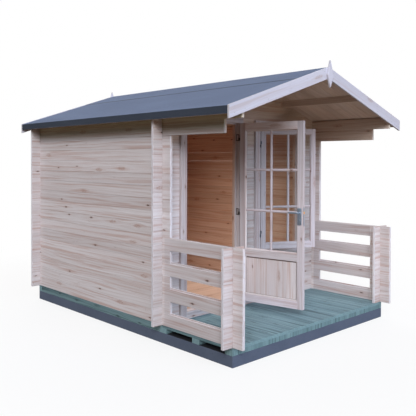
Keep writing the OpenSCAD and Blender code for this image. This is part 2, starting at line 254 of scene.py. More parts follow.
def wood_group():
    t = bpy.data.node_groups.new("wood_pattern", "ShaderNodeTree")
    for nm in ("Tone", "Streak", "Fine", "Ring", "Knot", "Halo", "Seed", "End", "EndRing", "Height"):
        t.interface.new_socket(name=nm, in_out="OUTPUT", socket_type="NodeSocketFloat")
    d = t.interface.new_socket(name="Knots", in_out="INPUT", socket_type="NodeSocketFloat")
    d.default_value = 0.5
    g = Graph(t)
    out = g.node("NodeGroupOutput")
    inp = g.node("NodeGroupInput")
    knots = Sock(g, inp.outputs[0])
    u, v, w = g.split(g.attr("gco"))
    seed, width, end = g.split(g.attr("bdat"))

    # knots, at most one in each cell along the board: small dark ones, and wider pale ones like an eye
    cell = 0.40
    s = u / cell
    i = s.floor()
    k0, k1, k2, k3 = g.white(g.vec(i, seed * 91.7, 3.3))
    here = k0.lt(knots)
    du = (s.fract() - (0.26 + k1 * 0.48)) * cell
    dv = v - width * (0.16 + 0.68 * k2)
    big = k3.gt(0.64)
    rad = 0.0058 + k3 * 0.0034 + big * 0.0034
    e = ((du / (2.6 + big * 0.7)).pow(2.0) + dv * dv).sqrt() / rad
    wob = g.noise(g.vec(du * 48.0, dv * 130.0, i * 7.0), detail=2.0) - 0.5
    e2 = e + wob * 0.9
    core = e2.step(1.15, 0.6) * here * (1.0 - big * 0.95)
    torn = g.noise(g.vec(du * 38.0 + 9.0, dv * 95.0, i * 5.0), detail=2.0).step(0.40, 0.60)
    rim = (e2.step(0.55, 0.95) * e2.step(1.7, 1.15) * 0.75 + e2.step(0.8, 0.3) * 0.40) * here * big * torn
    tail = (-(dv.abs() / (rad * 0.60))).exp() * (-(du.abs() / (rad * 8.5))).exp() * here
    halo = (e2.step(2.1, 0.8) * here * (0.5 - big * 0.36) + rim + tail * (1.25 - big * 0.45)).min(1.0)

    # the grain runs round each knot and wanders along the board
    bend = dv * (-(e / 2.8).pow(2.0)).exp() * here
    drift = g.noise(g.vec(u * 1.3, v * 4.0, w * 4.0), detail=1.5) - 0.5
    v3 = v - bend * 0.85 + drift * 0.040
    tone = g.noise(g.vec(u * 0.55, v3 * 9.0, w * 9.0 + seed * 13.0), detail=2.0)
    streak = g.noise(g.vec(u * 0.75, v3 * 44.0, w * 44.0), detail=4.0, rough=0.68)
    fine = g.noise(g.vec(u * 6.0, v3 * 420.0, w * 420.0), detail=2.0)
    arch = g.noise(g.vec(u * 0.42, v * 3.4, w * 3.4 + 5.0), detail=0.5)
    ring = ((v3 * 215.0 + arch * 44.0).sin() * 0.5 + 0.5).pow(5.0)
    ring = ring * g.noise(g.vec(u * 1.3, v * 22.0, 2.0), detail=1.0).step(0.36, 0.58)

    # end grain: flat arcs of rings from a pith under the board
    ey = v + 0.055 + seed * 0.08
    er = (ey * ey + (w - 0.014) * (w - 0.014)).sqrt()
    ering = ((er * 190.0 + g.noise(g.vec(v * 26.0, w * 26.0, seed * 7.0), detail=1.0) * 5.0).sin() * 0.5 + 0.5).pow(2.2)
    fine_end = g.noise(g.vec(u * 300.0, v * 420.0, w * 420.0), detail=2.0)

    height = fine * 0.5 + ring * 0.35 - core * 0.6 + streak * 0.3
    height = height * (1.0 - end) + (ering * 0.4 + fine_end * 0.9) * end
    for k, x in enumerate((tone, streak, fine, ring, core, halo, seed, end, ering, height)):
        g.put(out.inputs[k], x)
    return t


WOOD = wood_group()


def wood(name, light, dark, pink, line, knot, halo, ends, knots=0.5, streak=0.5, ring=0.35, tint=0.35, alt=None,
         inside_shade=None, rough=0.62, bump=0.35, shade_sides=None, fine_mix=0.20, streaks=(0.50, 0.68), end_mix=0.42,
         spread=0.14, eaves=None, head_shade=None):
    m, g, b = material(name)
    n = g.node("ShaderNodeGroup")
    n.node_tree = WOOD
    n.inputs[0].default_value = knots
    tone, st, fine, rg, kn, hl, seed, end, ering, h = [Sock(g, n.outputs[i]) for i in range(10)]
    r0, r1, r2, r3 = g.white(g.vec(seed * 517.0, 1.7, 4.2))
    pale = tuple(min(0.9, q * 1.14) for q in light)
    c = g.mix(tone.step(0.25, 0.75), light, dark)
    if alt:
        c = g.mix(r1 * tint, c, alt)
    c = g.mix(st.step(*streaks) * streak, c, pink)
    c = g.mix(st.step(0.46, 0.30) * 0.35, c, pale)
    c = g.mix(rg * ring, c, line)
    c = g.mix(fine.step(0.45, 0.85) * fine_mix, c, line)
    c = g.mix(hl * 0.8, c, halo)
    c = g.mix(kn, c, knot)
    ec = g.mix(ering * end_mix, ends, pink)
    c = g.mix(end, c, ec)
    v = g.node("ShaderNodeHueSaturation")
    v.inputs["Saturation"].default_value = 1.0
    g.put(v.inputs["Value"], 1.0 - spread / 2 + r2 * spread)
    g.put(v.inputs["Color"], c)
    c = Sock(g, v.outputs[0])
    if inside_shade:
        # painted shade: inside the cabin the colour is made darker and warmer, standing in for the shade indoors
        x, y, z = g.split(g.coord("Object"))
        inside = x.abs().lt(1.130) * (y - 0.436).abs().lt(1.130)
        c = g.mix(inside, c, g.mix(1.0, c, inside_shade, "MULTIPLY"))
    if eaves:
        # painted shade: under the porch roof the wood is made darker and browner, and so are the rails in the shelter
        # of the porch
        x, y, z = g.split(g.coord("Object"))
        porch = y.lt(YW * MM + 0.001) * x.abs().lt(1.13)
        c = g.mix((z + 0.17).step(1.93, 2.02) * porch, c, g.mix(1.0, c, eaves, "MULTIPLY"))
        # painted shadow under the side eaves: a dark band with a browner tint on the side walls, and the lower log of
        # the right corbel made darker
        side = x.abs().gt(1.13) * x.abs().lt(1.15)
        lower = z.gt(1.865) * z.lt(1.987) * x.gt(1.105) * x.lt(1.15) * y.lt(YW * MM - 0.03)
        c = g.mix(lower, c, g.mix(1.0, c, (0.80, 0.76, 0.73), "MULTIPLY"))
        c = g.mix(z.step(1.82, 1.925) * z.step(2.015, 1.935) * side * 0.50, c, (0.0, 0.0, 0.0))
        c = g.mix(z.step(1.87, 1.96) * side, c, g.mix(1.0, c, (1.0, 0.95, 0.70), "MULTIPLY"))
        # painted shade: the porch rails made darker, in full on the right and by half on the left
        rails = x.abs().gt(1.05) * y.lt(YW * MM - 0.03) * y.gt(POST_BACK * MM) * z.lt(0.95)
        c = g.mix(rails * (x.gt(0.0) * 0.5 + 0.5), c, g.mix(1.0, c, (0.80, 0.79, 0.80), "MULTIPLY"))
        # painted highlight: the rails' upward faces made paler, where the light from above falls
        nx, ny, nz = g.split(g.coord("Normal"))
        c = g.mix(nz.gt(0.8) * rails * 0.75, c, (0.86, 0.80, 0.83))
    if head_shade:
        # painted shade: darker towards the head, where the roof keeps the light off
        x, y, z = g.split(g.coord("Object"))
        c = g.mix(z.step(head_shade[0], head_shade[1]), c, g.mix(1.0, c, (head_shade[2], head_shade[2], head_shade[2]), "MULTIPLY"))
    if shade_sides:
        nx, ny, nz = g.split(g.coord("Normal"))
        c = g.mix(nz.step(0.8, 0.3), c, g.mix(1.0, c, shade_sides, "MULTIPLY"))
    g.put(b.inputs["Base Color"], c)
    g.put(b.inputs["Roughness"], rough + (fine - 0.5) * 0.18 - kn * 0.15)
    g.put(b.inputs["Normal"], g.bump(h, bump, 0.0012))
    return m


log_m = wood("log_spruce", (0.678, 0.630, 0.622), (0.590, 0.537, 0.522), (0.515, 0.375, 0.335), (0.46, 0.335, 0.29),
             (0.085, 0.045, 0.032), (0.39, 0.225, 0.170), (0.700, 0.670, 0.695), knots=0.40, streak=0.95, ring=0.36,
             tint=0.45, alt=(0.60, 0.515, 0.50), inside_shade=(0.97, 0.72, 0.55), fine_mix=0.28, eaves=(0.88, 0.78, 0.66), streaks=(0.49, 0.635))


def joinery(name, k, blue=1.0, inside_shade=None, ring=0.34, streak=0.70, head_shade=None):
    """The same planed spruce, made lighter or darker and bluer as painted light and shade for each part."""
    def q(c):
        return (c[0] * k, c[1] * k, min(0.9, c[2] * k * blue))
    return wood(name, q((0.71, 0.655, 0.655)), q((0.60, 0.54, 0.53)), q((0.48, 0.345, 0.31)), q((0.45, 0.335, 0.29)),
                (0.16, 0.09, 0.06), q((0.42, 0.28, 0.22)), q((0.64, 0.57, 0.53)), knots=0.26, streak=streak, ring=ring,
                tint=0.35, alt=q((0.63, 0.54, 0.52)), inside_shade=inside_shade, fine_mix=0.28, streaks=(0.49, 0.62), head_shade=head_shade)


# lit and shaded copies of one spruce: each part's tone and blueness are painted for the light that falls on it
joinery_m = joinery("joinery_spruce", 1.0)
midrail_m = joinery("joinery_spruce_mid", 0.84, 1.02)
stile_m = joinery("joinery_spruce_stile", 0.72, 1.03)
latch_m = joinery("joinery_spruce_latch", 0.98, 1.04, head_shade=(1.12, 1.92, 0.72))
frame_m = joinery("joinery_spruce_frame", 0.75, 1.02, inside_shade=(0.98, 0.82, 0.68))
casing_m = joinery("joinery_spruce_casing", 0.90, 1.04, inside_shade=(0.86, 0.62, 0.46))
sash_m = joinery("joinery_spruce_sash", 0.80, 1.06, streak=0.5)
bar_m = joinery("joinery_spruce_bar", 0.88, 1.07, streak=0.5)
low_rail_m = joinery("joinery_spruce_low", 1.10, 1.07)
panel_m = wood("panel_spruce", (0.68, 0.625, 0.625), (0.62, 0.545, 0.53), (0.54, 0.395, 0.345), (0.48, 0.36, 0.31),
               (0.14, 0.08, 0.055), (0.42, 0.26, 0.20), (0.64, 0.57, 0.53), knots=0.62, streak=0.95, ring=0.16,
               tint=0.7, alt=(0.58, 0.47, 0.45), fine_mix=0.26, streaks=(0.49, 0.62))
trim_m = wood("trim_spruce", (0.590, 0.575, 0.640), (0.540, 0.520, 0.578), (0.49, 0.40, 0.385), (0.46, 0.39, 0.37),
              (0.19, 0.12, 0.10), (0.43, 0.33, 0.30), (0.58, 0.55, 0.57), knots=0.25, streak=0.55, ring=0.24,
              tint=0.3, alt=(0.58, 0.54, 0.57))
groove_m = wood("groove_shade_spruce", (0.20, 0.14, 0.115), (0.16, 0.11, 0.09), (0.13, 0.085, 0.07), (0.13, 0.085, 0.07),
                (0.08, 0.05, 0.04), (0.12, 0.08, 0.06), (0.16, 0.11, 0.09), knots=0.0, streak=0.4, ring=0.2)
# painted shade: the roof boards' spruce is made browner and darker than the walls', for the shade under the roof
roof_m = wood("roof_spruce", (0.64, 0.525, 0.455), (0.53, 0.42, 0.35), (0.43, 0.31, 0.25), (0.39, 0.28, 0.22),
              (0.16, 0.09, 0.06), (0.42, 0.28, 0.21), (0.56, 0.48, 0.41), knots=0.12, streak=0.70, ring=0.30,
              tint=0.7, alt=(0.57, 0.45, 0.37), spread=0.26)
floor_m = wood("floor_spruce", (0.56, 0.40, 0.325), (0.46, 0.315, 0.24), (0.37, 0.23, 0.165), (0.33, 0.215, 0.155),
               (0.12, 0.06, 0.03), (0.28, 0.16, 0.12), (0.52, 0.39, 0.33), knots=0.3, streak=0.5, ring=0.35,
               tint=0.4, alt=(0.495, 0.34, 0.27), rough=0.5)
treated_m = wood("treated_pine", (0.278, 0.412, 0.446), (0.165, 0.270, 0.300), (0.090, 0.160, 0.180),
                 (0.085, 0.150, 0.170), (0.045, 0.075, 0.082), (0.085, 0.140, 0.150), (0.255, 0.385, 0.425), knots=0.8,
                 streak=1.0, ring=0.42, tint=0.55, alt=(0.195, 0.300, 0.335), rough=0.68, bump=0.5,
                 shade_sides=(0.76, 0.78, 0.74), streaks=(0.50, 0.62), fine_mix=0.30, end_mix=0.15)


def felt_material():
    m, g, b = material("mineral_felt")
    p = g.coord("Object")
    x, y, z = g.split(p)
    grit = g.noise(p, detail=1.0, scale=900.0)
    grit2 = g.noise(p, detail=2.0, scale=210.0)
    blot = g.noise(g.vec(x * 2.2, y * 1.1, z * 2.2), detail=3.0, rough=0.6)
    c = g.mix(blot.step(0.3, 0.7), (0.110, 0.144, 0.226), (0.127, 0.165, 0.254))
    c = g.mix(grit.step(0.55, 0.75) * 0.5, c, (0.21, 0.26, 0.34))
    c = g.mix(grit2.step(0.52, 0.72) * 0.35, c, (0.060, 0.075, 0.110))
    # painted shade: the felt's edge faces, turned away from the light above, are made much darker
    nx, ny, nz = g.split(g.coord("Normal"))
    c = g.mix(nz.step(0.75, 0.35), c, g.mix(1.0, c, (0.33, 0.31, 0.28), "MULTIPLY"))
    g.put(b.inputs["Base Color"], c)
    g.put(b.inputs["Roughness"], 0.82 + (grit - 0.5) * 0.2)
    b.inputs["Specular IOR Level"].default_value = 0.3
    g.put(b.inputs["Normal"], g.bump(grit * 0.6 + grit2 * 0.8 + blot * 2.0, 0.5, 0.0018))
    return m


def plain(name, base, vary, scale, rough, metal=0.0, bump=0.1, spec=0.5, stretch=(1, 1, 1), speck=None, top_shadow=None):
    m, g, b = material(name)
    x, y, z = g.split(g.coord("Object"))
    p = g.vec(x * stretch[0], y * stretch[1], z * stretch[2])
    a = g.noise(p, detail=4.0, rough=0.6, scale=scale)
    f = g.noise(p, detail=2.0, scale=scale * 23.0)
    c = g.mix(a.step(0.3, 0.7), base, vary)
    if speck:
        c = g.mix(f.step(0.56, 0.74) * 0.5, c, speck)
    if top_shadow:
        # painted shadow: the plinth's upward face, hidden under the deck and floor, is made near black
        nx, ny, nz = g.split(g.coord("Normal"))
        c = g.mix(nz.gt(0.8), c, top_shadow)
    g.put(b.inputs["Base Color"], c)
    g.put(b.inputs["Roughness"], rough + (a - 0.5) * 0.18)
    b.inputs["Metallic"].default_value = metal
    b.inputs["Specular IOR Level"].default_value = spec
    g.put(b.inputs["Normal"], g.bump(a + f * 0.6, bump, 0.0012))
    return m


felt_m = felt_material()
seal_m = plain("lap_bitumen", (0.022, 0.027, 0.036), (0.04, 0.048, 0.06), 14.0, 0.55, bump=0.4)
plinth_m = plain("plinth_concrete", (0.088, 0.106, 0.148), (0.102, 0.121, 0.166), 3.2, 0.86, bump=0.35, spec=0.3,
                 speck=(0.068, 0.080, 0.108), top_shadow=(0.014, 0.015, 0.018))
handle_m = plain("satin_steel", (0.38, 0.49, 0.60), (0.45, 0.55, 0.66), 22.0, 0.36, metal=0.85, bump=0.05,
                 stretch=(1, 1, 0.12))
hinge_m = plain("zinc_hinge", (0.42, 0.42, 0.43), (0.50, 0.50, 0.51), 30.0, 0.42, metal=0.8, bump=0.06)
dark_zinc_and_shadow_m = plain("dark_zinc_and_shadow", (0.045, 0.042, 0.040), (0.07, 0.065, 0.06), 30.0, 0.5, metal=0.6, bump=0.06)
slate_m = plain("slate_zinc", (0.105, 0.125, 0.150), (0.145, 0.165, 0.19), 30.0, 0.42, metal=0.7, bump=0.06)
brass_m = plain("brass", (0.90, 0.42, 0.06), (0.95, 0.48, 0.09), 40.0, 0.35, metal=0.35, bump=0.03)
deck_screw_m = plain("deck_screw", (0.11, 0.15, 0.16), (0.15, 0.20, 0.21), 60.0, 0.5, metal=0.6, bump=0.05)
screw_m = plain("screw_zinc", (0.40, 0.39, 0.36), (0.52, 0.50, 0.46), 60.0, 0.4, metal=0.85, bump=0.05)


def glass_material():
    m = bpy.data.materials.new("clear_glass")
    m.use_nodes = True
    t = m.node_tree
    t.nodes.clear()
    g = Graph(t)
    out = g.node("ShaderNodeOutputMaterial")
    mix = g.node("ShaderNodeMixShader")
    fr = g.node("ShaderNodeFresnel")
    fr.inputs["IOR"].default_value = 1.45
    tr = g.node("ShaderNodeBsdfTransparent")
    tr.inputs["Color"].default_value = (0.955, 0.972, 0.975, 1)
    gl = g.node("ShaderNodeBsdfGlossy")
    gl.inputs["Roughness"].default_value = 0.03
    p = g.coord("Object")
    g.put(gl.inputs["Normal"], g.bump(g.noise(p, detail=1.0, scale=3.5), 0.12, 0.004))
    g.put(mix.inputs[0], Sock(g, fr.outputs[0]) * 0.6)
    t.links.new(tr.outputs[0], mix.inputs[1])
    t.links.new(gl.outputs[0], mix.inputs[2])
    t.links.new(mix.outputs[0], out.inputs["Surface"])
    return m


glass_m = glass_material()

# ---------------------------------------------------------------- building boards


ID = Matrix.Identity(4)
# local (a, b, t) to the row frame: outlines drawn in (y, z), (x, z) or (x, y)
M_YZ = Matrix(((0, 0, 1, 0), (1, 0, 0, 0), (0, 1, 0, 0), (0, 0, 0, 1)))
M_XZ = Matrix(((1, 0, 0, 0), (0, 0, 1, 0), (0, 1, 0, 0), (0, 0, 0, 1)))
M_XY = ID


def flip_x(m):
    return Matrix.Scale(-1, 4, Vector((1, 0, 0))) @ m


class Piece:
    """Boards and other closed prisms joined in one mesh, with each board's own grain coordinates."""

    def __init__(self, name, mat, replaces=(), slot=None, body="cabin", place=ID):
        self.name, self.mat, self.rep, self.slot, self.body, self.place = name, mat, replaces, slot, body, place
        self.v, self.f, self.g, self.d = [], [], [], []
        self.rnd = random.Random(name)
        self.mats, self.fm = [mat], []

    def add(self, bm, m, frame, width, vmin, mat=None, seed=None):
        """frame: (u, v, w) axes as vectors in the local space."""
        m = self.place @ m
        flip = m.determinant() < 0
        bm.normal_update()
        seed = self.rnd.random() if seed is None else seed
        off = self.rnd.random() * 60
        base = len(self.v)
        bm.verts.index_update()
        if mat is not None and mat not in self.mats:
            self.mats.append(mat)
        mi = self.mats.index(mat) if mat is not None else 0
        U, V, W = frame
        for x in bm.verts:
            self.v.append(tuple((m @ x.co) * MM))
        for f in bm.faces:
            loops = list(f.loops)
            if flip:
                loops.reverse()
            self.f.append([base + lp.vert.index for lp in loops])
            self.fm.append(mi)
            end = 1.0 if abs(f.normal.dot(U)) > 0.86 else 0.0
            for lp in loops:
                c = lp.vert.co
                self.g += [c.dot(U) * MM + off, (c.dot(V) - vmin) * MM, c.dot(W) * MM]
                self.d += [seed, width * MM, end]
        bm.free()

    def prism(self, outline, t0, t1, m=M_YZ, grain=0.0, along_t=False, bevel=2.5, seg=2, mat=None, seed=None,
              taper=None):
        bm = bmesh.new()
        n = len(outline)
        lo = [bm.verts.new((a, b, t0)) for a, b in outline]
        hi = [bm.verts.new((a, b, t1)) for a, b in outline]
        area = sum(outline[i][0] * outline[(i + 1) % n][1] - outline[(i + 1) % n][0] * outline[i][1] for i in range(n))
        if area < 0:
            lo.reverse()
            hi.reverse()
        bm.faces.new(list(reversed(lo)))
        bm.faces.new(hi)
        for i in range(n):
            j = (i + 1) % n
            bm.faces.new((lo[i], lo[j], hi[j], hi[i]))
        bm.normal_update()
        if bevel > 0:
            es = [e for e in bm.edges if len(e.link_faces) == 2 and e.calc_face_angle(0) > 0.5]
            bmesh.ops.bevel(bm, geom=es, offset=bevel, offset_type="OFFSET", segments=seg, profile=0.5,
                            affect="EDGES", clamp_overlap=True)
        if along_t:
            V, W, U = Vector((0, 1, 0)), Vector((1, 0, 0)), Vector((0, 0, 1))
        else:
            c, s = math.cos(grain), math.sin(grain)
            U, V, W = Vector((c, s, 0)), Vector((-s, c, 0)), Vector((0, 0, 1))
        vs = [x.co.dot(V) for x in bm.verts]
        ws = [x.co.dot(W) for x in bm.verts]
        if along_t and max(ws) - min(ws) > max(vs) - min(vs):
            V, W = W, V
            vs, ws = ws, vs
        self.add(bm, m, (U, V, W), max(vs) - min(vs), min(vs), mat, seed)

    def box(self, a, b, grain="y", bevel=2.0, seg=2, mat=None, seed=None, m=ID):
        """A board between two corners, its grain along x, y or z."""
        a, b = [min(p, q) for p, q in zip(a, b)], [max(p, q) for p, q in zip(a, b)]
        bm = bmesh.new()
        bmesh.ops.create_cube(bm, size=1.0)
        for x in bm.verts:
            x.co = Vector([(a[i] + b[i]) / 2 + x.co[i] * (b[i] - a[i]) for i in range(3)])
        if bevel > 0:
            bmesh.ops.bevel(bm, geom=bm.edges[:], offset=bevel, offset_type="OFFSET", segments=seg, profile=0.5,
                            affect="EDGES", clamp_overlap=True)
        k = "xyz".index(grain)
        others = sorted((i for i in range(3) if i != k), key=lambda i: a[i] - b[i])
        ax = [Vector([1.0 if i == j else 0.0 for i in range(3)]) for j in (k, others[0], others[1])]
        self.add(bm, m, ax, b[others[0]] - a[others[0]], a[others[0]], mat, seed)

    def disc(self, c, r, h, axis, n=12, mat=None, bevel=0.0, m=ID, inner=None):
        """A short cylinder, its base at c and its height along axis."""
        bm = bmesh.new()
        bmesh.ops.create_cone(bm, cap_ends=True, segments=n, radius1=r, radius2=r if inner is None else inner, depth=h)
        if bevel:
            es = [e for e in bm.edges if e.calc_face_angle(0) > 1.0]
            bmesh.ops.bevel(bm, geom=es, offset=bevel, segments=2, profile=0.5, affect="EDGES", clamp_overlap=True)
        ax = Vector(axis).normalized()
        rot = ax.to_track_quat("Z", "Y").to_matrix().to_4x4()
        mm = Matrix.Translation(Vector(c) + ax * h / 2) @ rot
        bm.transform(mm)
        self.add(bm, m, (Vector((0, 0, 1)), Vector((1, 0, 0)), Vector((0, 1, 0))), 2 * r, 0, mat)

    def sweep(self, path, radii, n=14, mat=None, up=(0, 0, 1), m=ID):
        """A rod with an oval section along a path; radii are (across, up) at each point."""
        bm = bmesh.new()
        rings = []
        pts = [Vector(p) for p in path]
        up = Vector(up)
        for i, p in enumerate(pts):
            d = (pts[min(i + 1, len(pts) - 1)] - pts[max(i - 1, 0)]).normalized()
            s = d.cross(up).normalized()
            rx, rz = radii[i]
            rings.append([bm.verts.new(p + s * rx * math.cos(t) + up * rz * math.sin(t))
                          for t in (2 * math.pi * k / n for k in range(n))])
        for a, b in zip(rings, rings[1:]):
            for k in range(n):
                bm.faces.new((a[k], b[k], b[(k + 1) % n], a[(k + 1) % n]))
        bm.faces.new(rings[0])
        bm.faces.new(list(reversed(rings[-1])))
        bmesh.ops.recalc_face_normals(bm, faces=bm.faces[:])
        self.add(bm, m, (Vector((1, 0, 0)), Vector((0, 1, 0)), Vector((0, 0, 1))), 10, 0, mat)

    def make(self, smooth=False):
        me = bpy.data.meshes.new(self.name)
        me.from_pydata(self.v, [], self.f)
        a = me.attributes.new("gco", "FLOAT_VECTOR", "CORNER")
        a.data.foreach_set("vector", self.g)
        a = me.attributes.new("bdat", "FLOAT_VECTOR", "CORNER")
        a.data.foreach_set("vector", self.d)
        for x in self.mats:
            me.materials.append(x)
        me.polygons.foreach_set("material_index", self.fm)
        me.update()
        if smooth:
            me.shade_smooth()
            me.set_sharp_from_angle(angle=math.radians(40))
        o = bpy.data.objects.new(self.name, me)
        bpy.context.scene.collection.objects.link(o)
        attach(o, self.body)
        if self.rep:
            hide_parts(*self.rep)
        return o


def notched(a0, a1, z0, z1, cuts, q=Q, low=True, high=True):
    """Outline of a log from a0 to a1 and z0 to z1, notched top and bottom where it crosses others."""
    cuts = sorted(c for c in cuts if c[0] > a0 and c[1] < a1)
    p = [(a0, z0)]
    if low:
        for c0, c1 in cuts:
            p += [(c0, z0), (c0, z0 + q), (c1, z0 + q), (c1, z0)]
    p += [(a1, z0), (a1, z1)]
    if high:
        for c0, c1 in reversed(cuts):
            p += [(c1, z1), (c1, z1 - q), (c0, z1 - q), (c0, z1)]
    p.append((a0, z1))
    return p


G = 0.35  # half of the hairline between two courses

# ---------------------------------------------------------------- side walls, with the porch rails and posts as the same long logs

Y_RAIL1 = Y_END0
for side in ("left", "right"):
    s = 1 if side == "left" else -1
    m = M_YZ if s == 1 else flip_x(M_YZ)
    wall = Piece(f"{side}_wall_logs", log_m, (f"{side}_wall", f"{side}_eave_logs"), "log_wood")
    rail = Piece(f"{side}_rail_tongues", log_m, (f"{side}_railing",), "log_wood")
    post = Piece(f"{side}_post_logs", log_m, (f"{side}_porch_post",), "log_wood")
    e0, e1 = bx("left_eave_logs")
    for k in range(17):
        zb, zt = Z0 + k * LOG, Z0 + (k + 1) * LOG
        cuts = [(YW, YWI), (YRI, YR), (YF, YF + LT)]
        y0 = Y_END0
        if k in (0, 2, 4, 6):
            y0 = po0[1]
        if k == 15:
            y0 = YW - 772
        if k == 16:
            y0 = ROOF_Y0
            zt = under(XO) - 0.5
        if k >= 7:
            cuts = cuts[:2]
        wall.prism(notched(y0, Y_END1, zb + G, zt - G, cuts), -XO, -XI, m, bevel=2.6)
        if k in (1, 3, 5):
            post.prism(notched(po0[1], POST_BACK, zb + G, zt - G, [(YF, YF + LT)]), -XO, -XI, m, bevel=2.6)
        if k in (0, 2, 4):
            rail.prism([(-XO + LT / 2 - 5, zt - 3), (-XO + LT / 2 + 5, zt - 3), (-XO + LT / 2 + 4, zt + 13),
                        (-XO + LT / 2 - 4, zt + 13)], POST_BACK + 0.5, Y_END0 - 0.5,
                       M_XZ if s == 1 else flip_x(M_XZ), along_t=True, bevel=1.5)
    rows = [(Z0, Z0 + 57)] + [(Z0 + 57 + i * LOG, Z0 + 57 + (i + 1) * LOG) for i in range(6)] + [(POST_TOP - 57, POST_TOP)]
    for i, (zb, zt) in enumerate(rows):
        post.prism(notched(-X_END, -XI + 106, zb + G, zt - G, [(-XO, -XI)], low=i > 0, high=i < 7), YF, YF + LT,
                   M_XZ if s == 1 else flip_x(M_XZ), bevel=2.6)
    wall.make()
    rail.make()
    post.make()

# ---------------------------------------------------------------- rear wall, front wall and gables

CX = [(-XO, -XI), (XI, XO)]


def cross_rows():
    return [(Z0, Z0 + 57)] + [(Z0 + 57 + i * LOG, Z0 + 57 + (i + 1) * LOG) for i in range(16)]


rear = Piece("rear_wall_logs", log_m, ("rear_wall",), "log_wood")
for i, (zb, zt) in enumerate(cross_rows()):
    rear.prism(notched(-X_END, X_END, zb + G, zt - G, CX, low=i > 0), YRI, YR, M_XZ, bevel=2.6)
rear.make()

DX0, DX1 = bx("door_sill_log")[0][0], bx("door_sill_log")[1][0]
WX0, WX1 = bx("front_wall_under_window")[0][0], bx("front_wall_under_window")[1][0]
WZ = bx("front_wall_under_window")[1][2]
front = Piece("front_wall_logs", log_m,
              ("front_wall_left", "front_wall_middle", "front_wall_right", "front_wall_under_window", "door_sill_log"),
              "log_wood")
for i, (zb, zt) in enumerate(cross_rows()):
    lo, hi = zb + G, zt - G
    if i == 0:
        front.prism(notched(-X_END, X_END, lo, hi, CX, low=False), YW, YWI, M_XZ, bevel=2.6)
        continue
    front.prism(notched(-X_END, DX0, lo, hi, CX), YW, YWI, M_XZ, bevel=2.6)
    if zt <= WZ:
        front.prism(notched(DX1, X_END, lo, hi, CX), YW, YWI, M_XZ, bevel=2.6)
    elif zb < WZ:
        front.prism([(DX1, lo), (XI, lo), (XI, lo + Q), (XO, lo + Q), (XO, lo), (X_END, lo), (X_END, hi), (XO, hi),
                     (XO, hi - Q), (XI, hi - Q), (XI, hi), (WX1, hi), (WX1, WZ), (WX0, WZ), (WX0, hi), (DX1, hi)],
                    YW, YWI, M_XZ, bevel=2.6)
    else:
        front.prism(notched(DX1, WX0, lo, hi, CX), YW, YWI, M_XZ, bevel=2.6)
        front.prism(notched(WX1, X_END, lo, hi, CX), YW, YWI, M_XZ, bevel=2.6)
front.make()

for nm, y0, y1 in (("front_gable", YW, YWI), ("rear_gable", YRI, YR)):
    gab = Piece(f"{nm}_logs", log_m, (nm,), "log_wood")
    z = OVER
    while z < RIDGE - 1:
        zt = min(z + LOG, RIDGE - 0.5)
        lo, hi = z + G, zt - G
        xb = min((RIDGE - lo) / PITCH, X_END)
        xt = (RIDGE - hi) / PITCH
        if xb >= X_END - 1:
            p = notched(-X_END, X_END, lo, hi, CX, high=False)
            p = [q for q in p if q not in ((X_END, hi), (-X_END, hi))]
            p += [(X_END, under(X_END)), (xt, hi), (-xt, hi), (-X_END, under(X_END))]
        elif xt > 3:
            p = [(-xb, lo), (xb, lo), (xt, hi), (-xt, hi)]
        else:
            p = [(-xb, lo), (xb, lo), (0, hi)]
        gab.prism(p, y0, y1, M_XZ, bevel=2.2)
        z = zt
        if zt > RIDGE - 1:
            break
    gab.make()

# ---------------------------------------------------------------- roof timbers

pur = Piece("purlin_timbers", roof_m, ("purlins",), "roof_wood")
pur.prism([(-20, RIDGE - 76), (20, RIDGE - 76), (20, under(20) - 0.3), (0, RIDGE - 0.3), (-20, under(20) - 0.3)], ROOF_Y0,
          ROOF_Y1, M_XZ, along_t=True, bevel=2.5)
for s in (-1, 1):
    pur.prism([(s * 548, RIDGE - 245), (s * 588, RIDGE - 245), (s * 588, under(588) - 0.3), (s * 548, under(548) - 0.3)],
              ROOF_Y0, ROOF_Y1, M_XZ, along_t=True, bevel=2.5)
pur.make()

ang = math.atan(PITCH)
for side, s in (("left", -1), ("right", 1)):
    p = Piece(f"{side}_roof_board_set", roof_m, (f"{side}_roof_boards",), "roof_wood")
    nb = 34
    w = (ROOF_Y1 - ROOF_Y0) / nb
    for i in range(nb):
        y0, y1 = ROOF_Y0 + i * w, ROOF_Y0 + (i + 1) * w
        x0, x1 = 0.5, ROOF_X - 0.3
        p.prism([(s * x0, under(x0) + 0.2), (s * x1, under(x1) + 0.2), (s * x1, under(x1) + BOARD - 0.3),
                 (s * x0, under(x0) + BOARD - 0.3)], y0 + 0.3, y1 - 0.3, M_XZ, grain=-s * ang, bevel=3.2, seg=1)
    p.make()
    b0, b1 = bx("eave_boards")

eb = Piece("eave_fascias", log_m, ("eave_boards",), "trim_wood")
ex0, ex1 = ROOF_X, bx("eave_boards")[1][0]
for s in (-1, 1):
    t = under(ex1) + BOARD
    eb.prism([(s * ex1, t - 0.3), (s * ex0, t + PITCH * (ex1 - ex0) - 0.3), (s * ex0, t - 60), (s * ex1, t - 60)], ROOF_Y0,
             ROOF_Y1, M_XZ, along_t=True, bevel=2)
eb.make()

